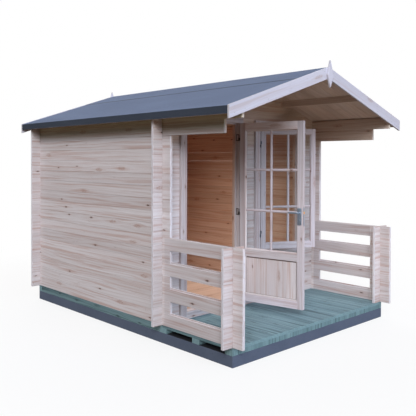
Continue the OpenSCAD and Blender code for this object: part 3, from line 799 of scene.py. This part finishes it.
for nm in ("front_barge_boards", "rear_barge_boards"):
    b0, b1 = bx(nm)
    p = Piece(nm + "_sawn", trim_m, (nm,), "trim_wood")
    top = b1[2] + PITCH * 0.5
    for s in (-1, 1):
        p.prism([(s * 0.5, top - PITCH * 0.5), (s * b1[0], top - PITCH * b1[0]), (s * b1[0], top - PITCH * b1[0] - 106),
                 (s * 0.5, top - PITCH * 0.5 - 106)], b0[1], b1[1], M_XZ, grain=-s * ang, bevel=2.2)
    # a pair of nails at each purlin and at the ends
    yy, ax = (b0[1], (0, -1, 0)) if nm.startswith("front") else (b1[1], (0, 1, 0))
    for x in (70, 330, 568, 850, 1130, 1250):
        for s in (-1, 1):
            for dz in (-28, -78):
                c = (s * x, yy - ax[1] * 1.6, top - PITCH * x + dz)
                p.disc(c, 3.6, 1.9, ax, mat=screw_m, n=10)
    p.make()

kt = Piece("finial_kites", trim_m, ("finials",), "trim_wood")
f0, f1 = bx("finials")
for y0 in (f0[1], f1[1] - 20):
    kt.prism([(0, f0[2]), (44, f0[2] + 111), (0, f1[2]), (-44, f0[2] + 111)], y0, y0 + 20, M_XZ, grain=math.pi / 2,
             bevel=3.0)
kt.make()

# ---------------------------------------------------------------- base, floor and deck

pl0, pl1 = bx("plinth")
p = Piece("plinth_slab", plinth_m, ("plinth",), "plinth_concrete")
p.box(pl0, pl1, "y", bevel=4.0, seg=3)
p.make()

ZP, ZD = pl1[2], Z0 - 24
bear = Piece("cabin_bearer_timbers", treated_m, ("cabin_bearers",), "treated_wood")
for i in range(5):
    x = -XO + i * (2 * XO - 60) / 4
    if i in (0, 4):
        s = -1 if i == 0 else 1
        bear.prism([(s * XO, ZP), (s * (XO - 60), ZP), (s * (XO - 60), Z0 - 18), (s * XI, Z0 - 18), (s * XI, Z0), (s * XO, Z0)],
                   YW + 31, YR - 62, M_XZ, along_t=True, bevel=2.5)
    else:
        bear.box((x, YW + 31, ZP), (x + 60, YR - 62, Z0 - 18), "y", bevel=2.5)
bear.prism([(YR - 60, ZP), (YR, ZP), (YR, Z0), (YRI, Z0), (YRI, Z0 - 18), (YR - 60, Z0 - 18)], -XO, XO,
           M_YZ, along_t=True, bevel=2.5)
bear.make()
pb = Piece("porch_bearer_timbers", treated_m, ("porch_bearers",), "treated_wood")
pb.prism([(YW - 58, ZP), (YW + 29, ZP), (YW + 29, Z0 - 18), (YW + 28, Z0 - 18), (YW + 28, Z0), (YW + 0.5, Z0), (YW + 0.5, ZD), (YW - 58, ZD)],
         -XO, XO, M_YZ, along_t=True, bevel=2.0)
for y, k in ((YW - 483, "x"), (YF, "z")):
    pb.box((-XO, y, ZP), (XO, y + 87, ZD), k, bevel=2.5)
pb.make()

dk = Piece("porch_deck_boards", treated_m, ("porch_deck",), "treated_wood")
nd, gap = 19, 1.4
w = (2 * XO + gap) / nd - gap
for i in range(nd):
    x = -XO + i * (w + gap)
    dk.box((x, YF, ZD), (x + w, YW, Z0), "y", bevel=1.4, seg=2)
    for y in (YF + 44, YW - 440, YW - 30):
        for dx in (22, w - 22):
            dk.disc((x + dx, y, Z0 - 1.6), 3.6, 1.7, (0, 0, 1), mat=deck_screw_m, n=10)
dk.make()

fl = Piece("cabin_floor_boards", floor_m, ("cabin_floor",), "floor_wood")
c0, c1 = bx("cabin_floor")
nf = 24
w = (c1[1] - c0[1]) / nf
for i in range(nf):
    fl.box((c0[0], c0[1] + i * w + 0.25, c0[2]), (c1[0], c0[1] + (i + 1) * w - 0.25, c1[2]), "x", bevel=2.2, seg=1)
fl.make()

# ---------------------------------------------------------------- door frame

XD0, XD1 = -868.0, -166.0
HEAD = bx("door_frame_left")[1][2]
CT, CW, IN = 28.0, 72.0, 18.0
for side, x, s in (("left", XD0, -1), ("right", XD1, 1)):
    p = Piece(f"door_jamb_{side}", frame_m, (f"door_frame_{side}",), "joinery_wood")
    p.box((x, YW - CT, Z0 + 30), (x + s * CW, YW - 0.2, HEAD - 0.3), "z", bevel=2.5)
    p.box((x, YW + 0.1, Z0 + 57), (x + s * 20, YWI - 0.1, OVER - 13), "z", bevel=1.0)
    p.box((x, YWI + 0.1, Z0 + 57), (x + s * 60, YWI + IN, OVER - 13), "z", bevel=2.5)
    p.box((x, YW + 6, Z0 + 80), (x - s * 14, YWI + IN, HEAD - 0.3), "z", bevel=2.0)
    for z in (Z0 + 90, Z0 + 520, Z0 + 950, Z0 + 1380, Z0 + 1800):
        for dx in (18, 54):
            p.disc((x + s * dx, YW - CT + 1.4, z), 2.6, 1.7, (0, -1, 0), n=10, mat=screw_m)
    p.make()
p = Piece("door_head_boards", frame_m, ("door_frame_head",), "joinery_wood")
p.box((XD0 - CW, YW - CT, HEAD + 0.2), (XD1 + CW, YW - 0.2, HEAD + CW), "x", bevel=2.5)
p.box((XD0 - 20, YW + 0.1, HEAD), (XD1 + 20, YWI - 0.1, OVER - 0.2), "x", bevel=1.0)
p.box((XD0 - 60, YWI + 0.1, HEAD), (XD1 + 60, YWI + IN, HEAD + 60), "x", bevel=2.5)
p.box((XD0 + 14, YW + 6, HEAD - 14), (XD1 - 14, YWI + IN, HEAD + 0.5), "x", bevel=2.0)
p.make()
p = Piece("door_threshold_board", joinery_m, ("door_threshold",), "joinery_wood")
t0, t1 = bx("door_threshold")
p.box(t0, t1, "x", bevel=3.5, seg=3)
p.make()

# ---------------------------------------------------------------- door leaf, drawn shut and swung to where it stands

HX, HY = XD1 + 14.4, YW - CT - 6
SW = Matrix.Translation((HX, HY, 0)) @ Matrix.Rotation(math.radians(101), 4, "Z") @ Matrix.Translation((-HX, -HY, 0))
LX0, LX1 = XD0 + 6, XD1 - 5
LY0 = YW - CT - 14
LY1 = LY0 + 42
LZ0, LZ1 = Z0 + 85, HEAD - 5
MZ0, MZ1 = Z0 + 534, Z0 + 608
TR, BR, ST = 76.0, 74.0, 60.0
YM = (LY0 + LY1) / 2
leaf = Piece("door_leaf_joinery", joinery_m, ("door_leaf",), "joinery_wood", "door", SW)
leaf.box((LX0, LY0, LZ0), (LX0 + ST, LY1, LZ1), "z", bevel=2.2, mat=latch_m)
leaf.box((LX1 - ST, LY0, LZ0), (LX1, LY1, LZ1), "z", bevel=2.2, mat=stile_m)
for zb, zt, mt in ((LZ1 - TR, LZ1, joinery_m), (MZ0, MZ1, midrail_m), (LZ0, LZ0 + BR, low_rail_m)):
    leaf.box((LX0 + ST - 1.2, LY0 + 0.3, zb), (LX1 - ST + 1.2, LY1 - 0.3, zt), "x", bevel=1.8, mat=mt)
cx = (LX0 + LX1) / 2
d = 11.0
pz = (LZ1 - TR - MZ1 - 48) / 3


def bar_outline(c, half, depth):
    """Glazing bar: flat nose with a splay down to the glass."""
    return [(c - half, YM + 2.2), (c + half, YM + 2.2), (c + half, YM + 5), (c + half * 0.45, YM + depth),
            (c - half * 0.45, YM + depth), (c - half, YM + 5)]


for sgn in (1, -1):
    def o(c, half, depth):
        return [(a, YM + sgn * (b - YM)) for a, b in bar_outline(c, half, depth)]
    leaf.prism(o(cx, 12, d), MZ1, LZ1 - TR, M_XY, along_t=True, bevel=0.8, seg=1, mat=bar_m)
    for k in (1, 2):
        zc = MZ1 + k * pz + (k - 0.5) * 24
        q = [(z_, y_) for z_, y_ in ((zc - 12, 2.2), (zc + 12, 2.2), (zc + 12, 5), (zc + 5.4, d), (zc - 5.4, d), (zc - 12, 5))]
        q = [(YM + sgn * y_, z_) for z_, y_ in q]
        leaf.prism(q, LX0 + ST, LX1 - ST, M_YZ, along_t=True, bevel=0.8, seg=1, mat=bar_m)


def bead_ring(p, x0, x1, z0, z1, yin, yout, w, mat=None, m=ID, top=True):
    """Four splayed beads round an opening in a frame, between depths yin (at the glass) and yout."""
    tri = [(0, yin), (w, yin), (0, yout)]
    p.prism([(x0 + a, b) for a, b in tri], z0, z1, m @ M_XY, along_t=True, bevel=0.6, seg=1, mat=mat)
    p.prism([(x1 - a, b) for a, b in tri], z0, z1, m @ M_XY, along_t=True, bevel=0.6, seg=1, mat=mat)
    p.prism([(b, z0 + a) for a, b in tri], x0, x1, m @ M_YZ, along_t=True, bevel=0.6, seg=1, mat=mat)
    if top:
        p.prism([(b, z1 - a) for a, b in tri], x0, x1, m @ M_YZ, along_t=True, bevel=0.6, seg=1, mat=mat)


for sgn, yo in ((-1, LY0 + 3), (1, LY1 - 3)):
    bead_ring(leaf, LX0 + ST, LX1 - ST, MZ1, LZ1 - TR, YM + sgn * 2.2, yo, 11)
    bead_ring(leaf, LX0 + ST, LX1 - ST, LZ0 + BR, MZ0, YM + sgn * 8.2, yo, 13, top=False)
    # the panel drops into a groove under the middle rail and lies clear of its beads; the dark boxes there are painted
    # shadow in the groove and the gaps
    y_in = YM + sgn * 7.0
    leaf.box((LX0 + ST + 13, y_in, MZ0 - 12), (LX1 - ST - 13, YM + sgn * 8.9, MZ0 + 0.2), "x", bevel=0.2, seg=1, mat=groove_m)
    for a in (LX0 + ST + 12.5, LX1 - ST - 15.5):
        leaf.box((a, y_in, LZ0 + BR + 13), (a + 3.0, YM + sgn * 8.7, MZ0 - 2), "z", bevel=0.2, seg=1, mat=groove_m)
    leaf.box((LX0 + ST + 13, y_in, LZ0 + BR + 12.5), (LX1 - ST - 13, YM + sgn * 8.7, LZ0 + BR + 15.0), "x", bevel=0.2, seg=1,
             mat=groove_m)
leaf.make()

pn = Piece("door_panel_staves", panel_m, ("door_panel",), "joinery_wood", "door", SW)
ns = 5
w = (LX1 - LX0 - 2 * ST) / ns
for i in range(ns):
    x = LX0 + ST + i * w
    pn.box((x + 0.1, YM - 8, LZ0 + BR), (x + w - 0.1, YM + 8, MZ0), "z", bevel=0.35, seg=1)
pn.make()

hw = Piece("door_lock_set", handle_m, ("door_plates",), "handle_steel", "door", SW)
PX, LZ = LX0 + 36, Z0 + 998


def round_rect(cx_, cz_, w_, h_, r_, n=5):
    pts = []
    for sx, sz, a0 in ((1, 1, 0), (-1, 1, 90), (-1, -1, 180), (1, -1, 270)):
        for k in range(n + 1):
            a = math.radians(a0 + 90 * k / n)
            pts.append((cx_ + sx * (w_ / 2 - r_) + r_ * math.cos(a), cz_ + sz * (h_ / 2 - r_) + r_ * math.sin(a)))
    return pts


for y, s in ((LY0, -1), (LY1, 1)):
    hw.prism(round_rect(PX, LZ - 37, 42, 162, 9), y, y + s * 3, M_XZ, bevel=0.9)
    hw.disc((PX, y + s * 2, LZ - 72), 8, 6.5, (0, s, 0), n=24, bevel=0.8)
    # painted shadow: a dark sliver stands for the key slot's hollow
    hw.box((PX - 1.1, y + s * 8.2, LZ - 76), (PX + 1.1, y + s * 8.9, LZ - 68), "z", bevel=0.2, seg=1, mat=dark_zinc_and_shadow_m)
    hw.disc((PX, y + s * 2, LZ), 11, 3, (0, s, 0), n=24, bevel=0.8)
    for z in (LZ + 32, LZ - 106):
        hw.disc((PX, y + s * 2.4, z), 3.4, 1.4, (0, s, 0), n=12, mat=screw_m)
hw.prism(round_rect(YM, LZ - 36, 20, 176, 3), LX0 + 0.5, LX0 - 0.8, M_YZ, bevel=0.4, seg=1)
hw.box((LX0 - 3.6, YM - 8.5, LZ - 12), (LX0 - 0.4, YM + 8.5, LZ + 12), "z", bevel=1.2, mat=brass_m)
hw.make(smooth=True)

lv = Piece("door_lever_pair", handle_m, ("door_levers",), "handle_steel", "door_lever", SW)
for y, s in ((LY0, -1), (LY1, 1)):
    path = [(PX, y + s * 4, LZ), (PX, y + s * 22, LZ), (PX, y + s * 31, LZ), (PX + 2.5, y + s * 37, LZ),
            (PX + 8, y + s * 39.6, LZ), (PX + 16, y + s * 40, LZ), (PX + 60, y + s * 40, LZ), (PX + 89, y + s * 39.5, LZ),
            (PX + 98, y + s * 38, LZ), (PX + 100.6, y + s * 36.5, LZ)]
    rad = [(7.5, 7.5), (7.2, 7.2), (6.6, 6.8), (5.8, 7.2), (5.5, 7.6), (5.5, 7.9), (5.4, 7.4), (5.2, 7.9), (4.4, 7.0), (2.0, 4.0)]
    lv.sweep(path, rad, n=16)
lv.disc((PX, LY0 - 6, LZ), 4.2, 54, (0, 1, 0), n=12)
lv.make(smooth=True)

# ---------------------------------------------------------------- hinges

fh = Piece("frame_hinge_leaves", hinge_m, ("frame_hinges",), "hinge_steel")
dh = Piece("door_hinge_leaves", hinge_m, ("door_hinges",), "hinge_steel", "door", SW)
for z in (Z0 + 224, Z0 + 972, Z0 + 1720):
    # painted shadow: a dark plate behind a smaller pale leaf gives each hinge leaf a shadow outline
    fh.box((XD1 - 1.6, YW - CT - 1.5, z - 33), (XD1 - 0.1, YW + 5, z + 33), "z", bevel=0.3, seg=1, mat=dark_zinc_and_shadow_m)
    fh.box((XD1 - 2.0, YW - CT + 5, z - 26), (XD1 - 1.4, YW - 2, z + 26), "z", bevel=0.2, seg=1)
    fh.box((XD1 - 2, YW - CT - 2, z - 33), (HX, YW - CT - 0.1, z - 1), "z", bevel=0.4, seg=1, mat=dark_zinc_and_shadow_m)
    fh.disc((HX, HY, z - 33), 5.5, 32, (0, 0, 1), n=20, bevel=0.6, mat=dark_zinc_and_shadow_m)
    fh.disc((HX, HY, z - 2), 3, 32, (0, 0, 1), n=16)
    for dy in (-16, -2):
        for dz in (-20, 20):
            fh.disc((XD1 - 1.4, YW + dy - 4, z + dz), 3.0, 0.9, (-1, 0, 0), n=10, mat=screw_m)
    dh.box((LX1 + 0.1, LY0 + 3, z - 33), (LX1 + 2, LY1 - 6, z + 33), "z", bevel=0.4, seg=1, mat=dark_zinc_and_shadow_m)
    dh.box((LX1 + 0.1, HY - 1, z), (HX - 1, HY + 1, z + 33), "z", bevel=0.3, seg=1, mat=dark_zinc_and_shadow_m)
    dh.disc((HX, HY, z + 0.1), 5.5, 32.9, (0, 0, 1), n=20, bevel=0.6, mat=dark_zinc_and_shadow_m)
fh.make(smooth=True)
dh.make(smooth=True)

# ---------------------------------------------------------------- window

WA0, WA1, WZ0, WZ1 = 171.0, 812.0, 712.0, 1996.0
p = Piece("window_frame_boards", casing_m, ("window_frame",), "joinery_wood")
for x, s in ((WA0, -1), (WA1, 1)):
    p.box((x, YW - CT, WZ0 - CW), (x + s * CW, YW - 0.2, WZ1 + CW), "z", bevel=2.5)
    p.box((x, YW + 0.1, WZ0 - 20), (x + s * 20, YWI - 0.1, OVER - 0.2), "z", bevel=1.0)
    p.box((x, YWI + 0.1, WZ0 - 60), (x + s * 60, YWI + IN, WZ1 + 60), "z", bevel=2.5)
for z, s, t in ((WZ0, -1, 20), (WZ1, 1, OVER - WZ1 - 0.2)):
    p.box((WA0 - 0.3, YW - CT, z), (WA1 + 0.3, YW - 0.2, z + s * CW), "x", bevel=2.5)
    p.box((WA0, YW + 0.1, z), (WA1, YWI - 0.1, z + s * t), "x", bevel=1.0)
    p.box((WA0 - 0.3, YWI + 0.1, z), (WA1 + 0.3, YWI + IN, z + s * 60), "x", bevel=2.5)
p.make()

SP = Matrix.Translation((WA0 + 5, YW - CT - 2, WZ0 + 4)) @ Matrix.Rotation(math.radians(-26.4), 4, "Z")
SWD, SH, STK = WA1 - WA0 - 5, WZ1 - WZ0 - 8, 40.0
sash = Piece("window_sash_joinery", sash_m, ("window_sash",), "joinery_wood", "cabin", SP)
sash.box((0, 0, 0), (56, STK, SH), "z", bevel=2.2)
sash.box((SWD - 50, 0, 0), (SWD, STK, SH), "z", bevel=2.2)
sash.box((54.8, 0.3, 0), (SWD - 48.8, STK - 0.3, 62), "x", bevel=1.8)
sash.box((54.8, 0.3, SH - 57), (SWD - 48.8, STK - 0.3, SH), "x", bevel=1.8)
sc_ = (56 + SWD - 50) / 2
sp = (SH - 119 - 48) / 3
for sgn in (1, -1):
    ym = STK / 2
    prof = [(-12, 2.2), (12, 2.2), (12, 5), (5.4, 11), (-5.4, 11), (-12, 5)]
    sash.prism([(sc_ + a, ym + sgn * b) for a, b in prof], 62, SH - 57, M_XY, along_t=True, bevel=0.8, seg=1)
    for k in (1, 2):
        zc = 62 + k * sp + (k - 0.5) * 24
        sash.prism([(ym + sgn * b, zc + a) for a, b in prof], 56, SWD - 50, M_YZ, along_t=True, bevel=0.8, seg=1)
    bead_ring(sash, 56, SWD - 50, 62, SH - 57, ym + sgn * 2.2, 3 if sgn < 0 else STK - 3, 10)
sash.make()

wh = Piece("window_hinge_leaves", slate_m, ("window_hinges",), "hinge_steel")
for z in (Z0 + 716, Z0 + 1658):
    c = (WA0 - 1, YW - CT - 6.2)
    wh.disc((c[0], c[1], z - 36), 4.6, 34.5, (0, 0, 1), n=20, bevel=0.8)
    wh.disc((c[0], c[1], z - 0.5), 4.6, 36.5, (0, 0, 1), n=20, bevel=0.8)
    wh.disc((c[0], c[1], z - 37.5), 2.6, 75.5, (0, 0, 1), n=14, bevel=0.6)
    wh.box((WA0 - 9, YW - CT - 1.2, z - 30), (WA0 - 1, YW - CT - 0.1, z - 4), "z", bevel=0.3, seg=1)
    wh.box((WA0 - 4.4, YW - CT - 6.2, z - 30), (WA0 - 2.6, YW - CT - 0.1, z - 4), "z", bevel=0.3, seg=1)
    wh.box((2, -1.4, z - WZ0), (11, -0.1, z - WZ0 + 28), "z", bevel=0.3, seg=1, m=SP)
wh.make(smooth=True)

# ---------------------------------------------------------------- roof felt: the lap

ft = Piece("felt_lap_seal", seal_m, (), "roofing_felt")
RS = bx("ridge_felt")[1][0]
FT = 3.5
for s in (-1, 1):
    # bitumen squeezed out along the edge of the ridge strip
    prof = [(s * (RS - 1), FT + 0.1), (s * (RS + 7), FT - 0.3), (s * (RS + 6), FT + 1.4), (s * (RS + 0.3), FT + 3.0)]
    ft.prism([(x, under(x) + BOARD + b) for x, b in prof], ROOF_Y0 + 1, ROOF_Y1 - 1, M_XZ, along_t=True, bevel=0.4, seg=1)
ft.make()

for nm in ("left_felt", "right_felt", "ridge_felt"):
    o = NODES[nm]
    o.data.materials.clear()
    o.data.materials.append(felt_m)
for nm in ("door_glass", "window_glass"):
    o = NODES[nm]
    o.data.materials.clear()
    o.data.materials.append(glass_m)

# ---------------------------------------------------------------- stage: pale floor, soft light, camera


def floor():
    bm = bmesh.new()
    bmesh.ops.create_circle(bm, cap_ends=True, segments=96, radius=60.0)
    me = bpy.data.meshes.new("studio_floor")
    bm.to_mesh(me)
    bm.free()
    o = bpy.data.objects.new("studio_floor", me)
    o.location = (0, 0, -0.001)
    bpy.context.scene.collection.objects.link(o)
    m = bpy.data.materials.new("pale_floor")
    m.use_nodes = True
    t = m.node_tree
    t.nodes.clear()
    g = Graph(t)
    out = g.node("ShaderNodeOutputMaterial")
    dif = g.node("ShaderNodeBsdfDiffuse")
    dif.inputs["Color"].default_value = (0.90, 0.88, 0.86, 1)
    em = g.node("ShaderNodeEmission")
    em.inputs["Color"].default_value = (1, 1, 1, 1)
    dim = g.node("ShaderNodeBsdfDiffuse")
    dim.inputs["Color"].default_value = (0.13, 0.10, 0.07, 1)
    x, y, z = g.split(g.coord("Object"))
    r = (x * x + y * y).sqrt()
    mix = g.node("ShaderNodeMixShader")
    g.put(mix.inputs[0], r.step(2.2, 5.5, 0.80, 1.0))
    t.links.new(dif.outputs[0], mix.inputs[1])
    t.links.new(em.outputs[0], mix.inputs[2])
    seen = g.node("ShaderNodeLightPath")
    pick = g.node("ShaderNodeMixShader")
    t.links.new(seen.outputs["Is Camera Ray"], pick.inputs[0])
    t.links.new(dim.outputs[0], pick.inputs[1])
    t.links.new(mix.outputs[0], pick.inputs[2])
    t.links.new(pick.outputs[0], out.inputs["Surface"])
    me.materials.append(m)
    o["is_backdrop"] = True


floor()

scene = bpy.context.scene
world = bpy.data.worlds.new("studio")
scene.world = world
world.use_nodes = True
wt = world.node_tree
wt.nodes.clear()
g = Graph(wt)
wo = g.node("ShaderNodeOutputWorld")
bg = g.node("ShaderNodeBackground")
white = g.node("ShaderNodeBackground")
white.inputs["Color"].default_value = (1, 1, 1, 1)
white.inputs["Strength"].default_value = 1.0
bg.inputs["Color"].default_value = (0.86, 0.83, 0.81, 1)
wx, wy, wz = g.split(g.coord("Generated"))
g.put(bg.inputs["Strength"], (wx * 0.75 + wy * 0.66).step(-0.45, 0.85, 0.26, 0.95))
lp = g.node("ShaderNodeLightPath")
mx = g.node("ShaderNodeMixShader")
wt.links.new(lp.outputs["Is Camera Ray"], mx.inputs[0])
wt.links.new(bg.outputs[0], mx.inputs[1])
wt.links.new(white.outputs[0], mx.inputs[2])
wt.links.new(mx.outputs[0], wo.inputs["Surface"])


def soft_sun(name, energy, color, angle, direction, glossy=True):
    sun = bpy.data.lights.new(name, "SUN")
    sun.energy = energy
    sun.color = color
    sun.angle = math.radians(angle)
    so = bpy.data.objects.new(name, sun)
    d = Vector(direction).normalized()
    so.rotation_mode = "QUATERNION"
    so.rotation_quaternion = d.to_track_quat("-Z", "Y")
    so.location = -d * 8
    so.visible_glossy = glossy
    scene.collection.objects.link(so)


soft_sun("front_fill", 1.45, (0.67, 0.83, 1.12), 50, (-0.15, 1.0, -0.47), glossy=False)
soft_sun("rear_fill", 0.95, (1.0, 0.98, 0.96), 44, (-0.55, -0.80, -0.17), glossy=False)
soft_sun("key", 2.75, (0.925, 0.975, 1.07), 30, (0.74, 0.67, -0.56))


def area(name, loc, target, size, energy, color, spread, hidden=False):
    li = bpy.data.lights.new(name, "AREA")
    li.shape = "RECTANGLE"
    li.size, li.size_y = size
    li.energy = energy
    li.spread = math.radians(spread)
    li.color = color
    o = bpy.data.objects.new(name, li)
    d = Vector(target) - Vector(loc)
    o.rotation_mode = "QUATERNION"
    o.rotation_quaternion = d.to_track_quat("-Z", "Y")
    o.location = loc
    if hidden:
        o.visible_camera = False
        o.visible_glossy = False
    scene.collection.objects.link(o)


area("inside_soft", (0.05, 0.22, 2.02), (0.05, 0.22, 0.0), (1.5, 1.5), 14.4, (1.0, 0.94, 0.86), 112, hidden=True)
area("post_fill", (0.30, -1.02, 0.80), (1.13, -1.55, 0.50), (0.30, 0.70), 0.40, (1.0, 0.93, 0.88), 70, hidden=True)
area("porch_reflector", (0.1, -2.9, 0.12), (0.1, -1.0, 2.3), (2.4, 0.7), 5.5, (1.0, 0.82, 0.70), 110, hidden=True)

scene.view_settings.view_transform = "Standard"
scene.view_settings.look = "None"

yaw, pitch, roll = math.radians(42.531), math.radians(-0.763), math.radians(0.1034)
fwd = Vector((math.sin(yaw) * math.cos(pitch), math.cos(yaw) * math.cos(pitch), math.sin(pitch)))
right = Vector((math.cos(yaw), -math.sin(yaw), 0))
up = right.cross(fwd)
r2 = right * math.cos(roll) + up * math.sin(roll)
u2 = -right * math.sin(roll) + up * math.cos(roll)
cam = bpy.data.cameras.new("camera")
cam.sensor_width = 36.0
cam.sensor_fit = "HORIZONTAL"
cam.lens = 582.165 / 416 * 36.0
cam.shift_x = 0.0431
cam.shift_y = -0.0961
cam.clip_start, cam.clip_end = 0.1, 200
co = bpy.data.objects.new("camera", cam)
mat = Matrix((r2, u2, -fwd)).transposed().to_4x4()
mat.translation = (-4.50396, -4.73888, 1.65324)
co.matrix_world = mat
scene.collection.objects.link(co)
scene.camera = co

bpy.context.view_layer.update()
lo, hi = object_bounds()
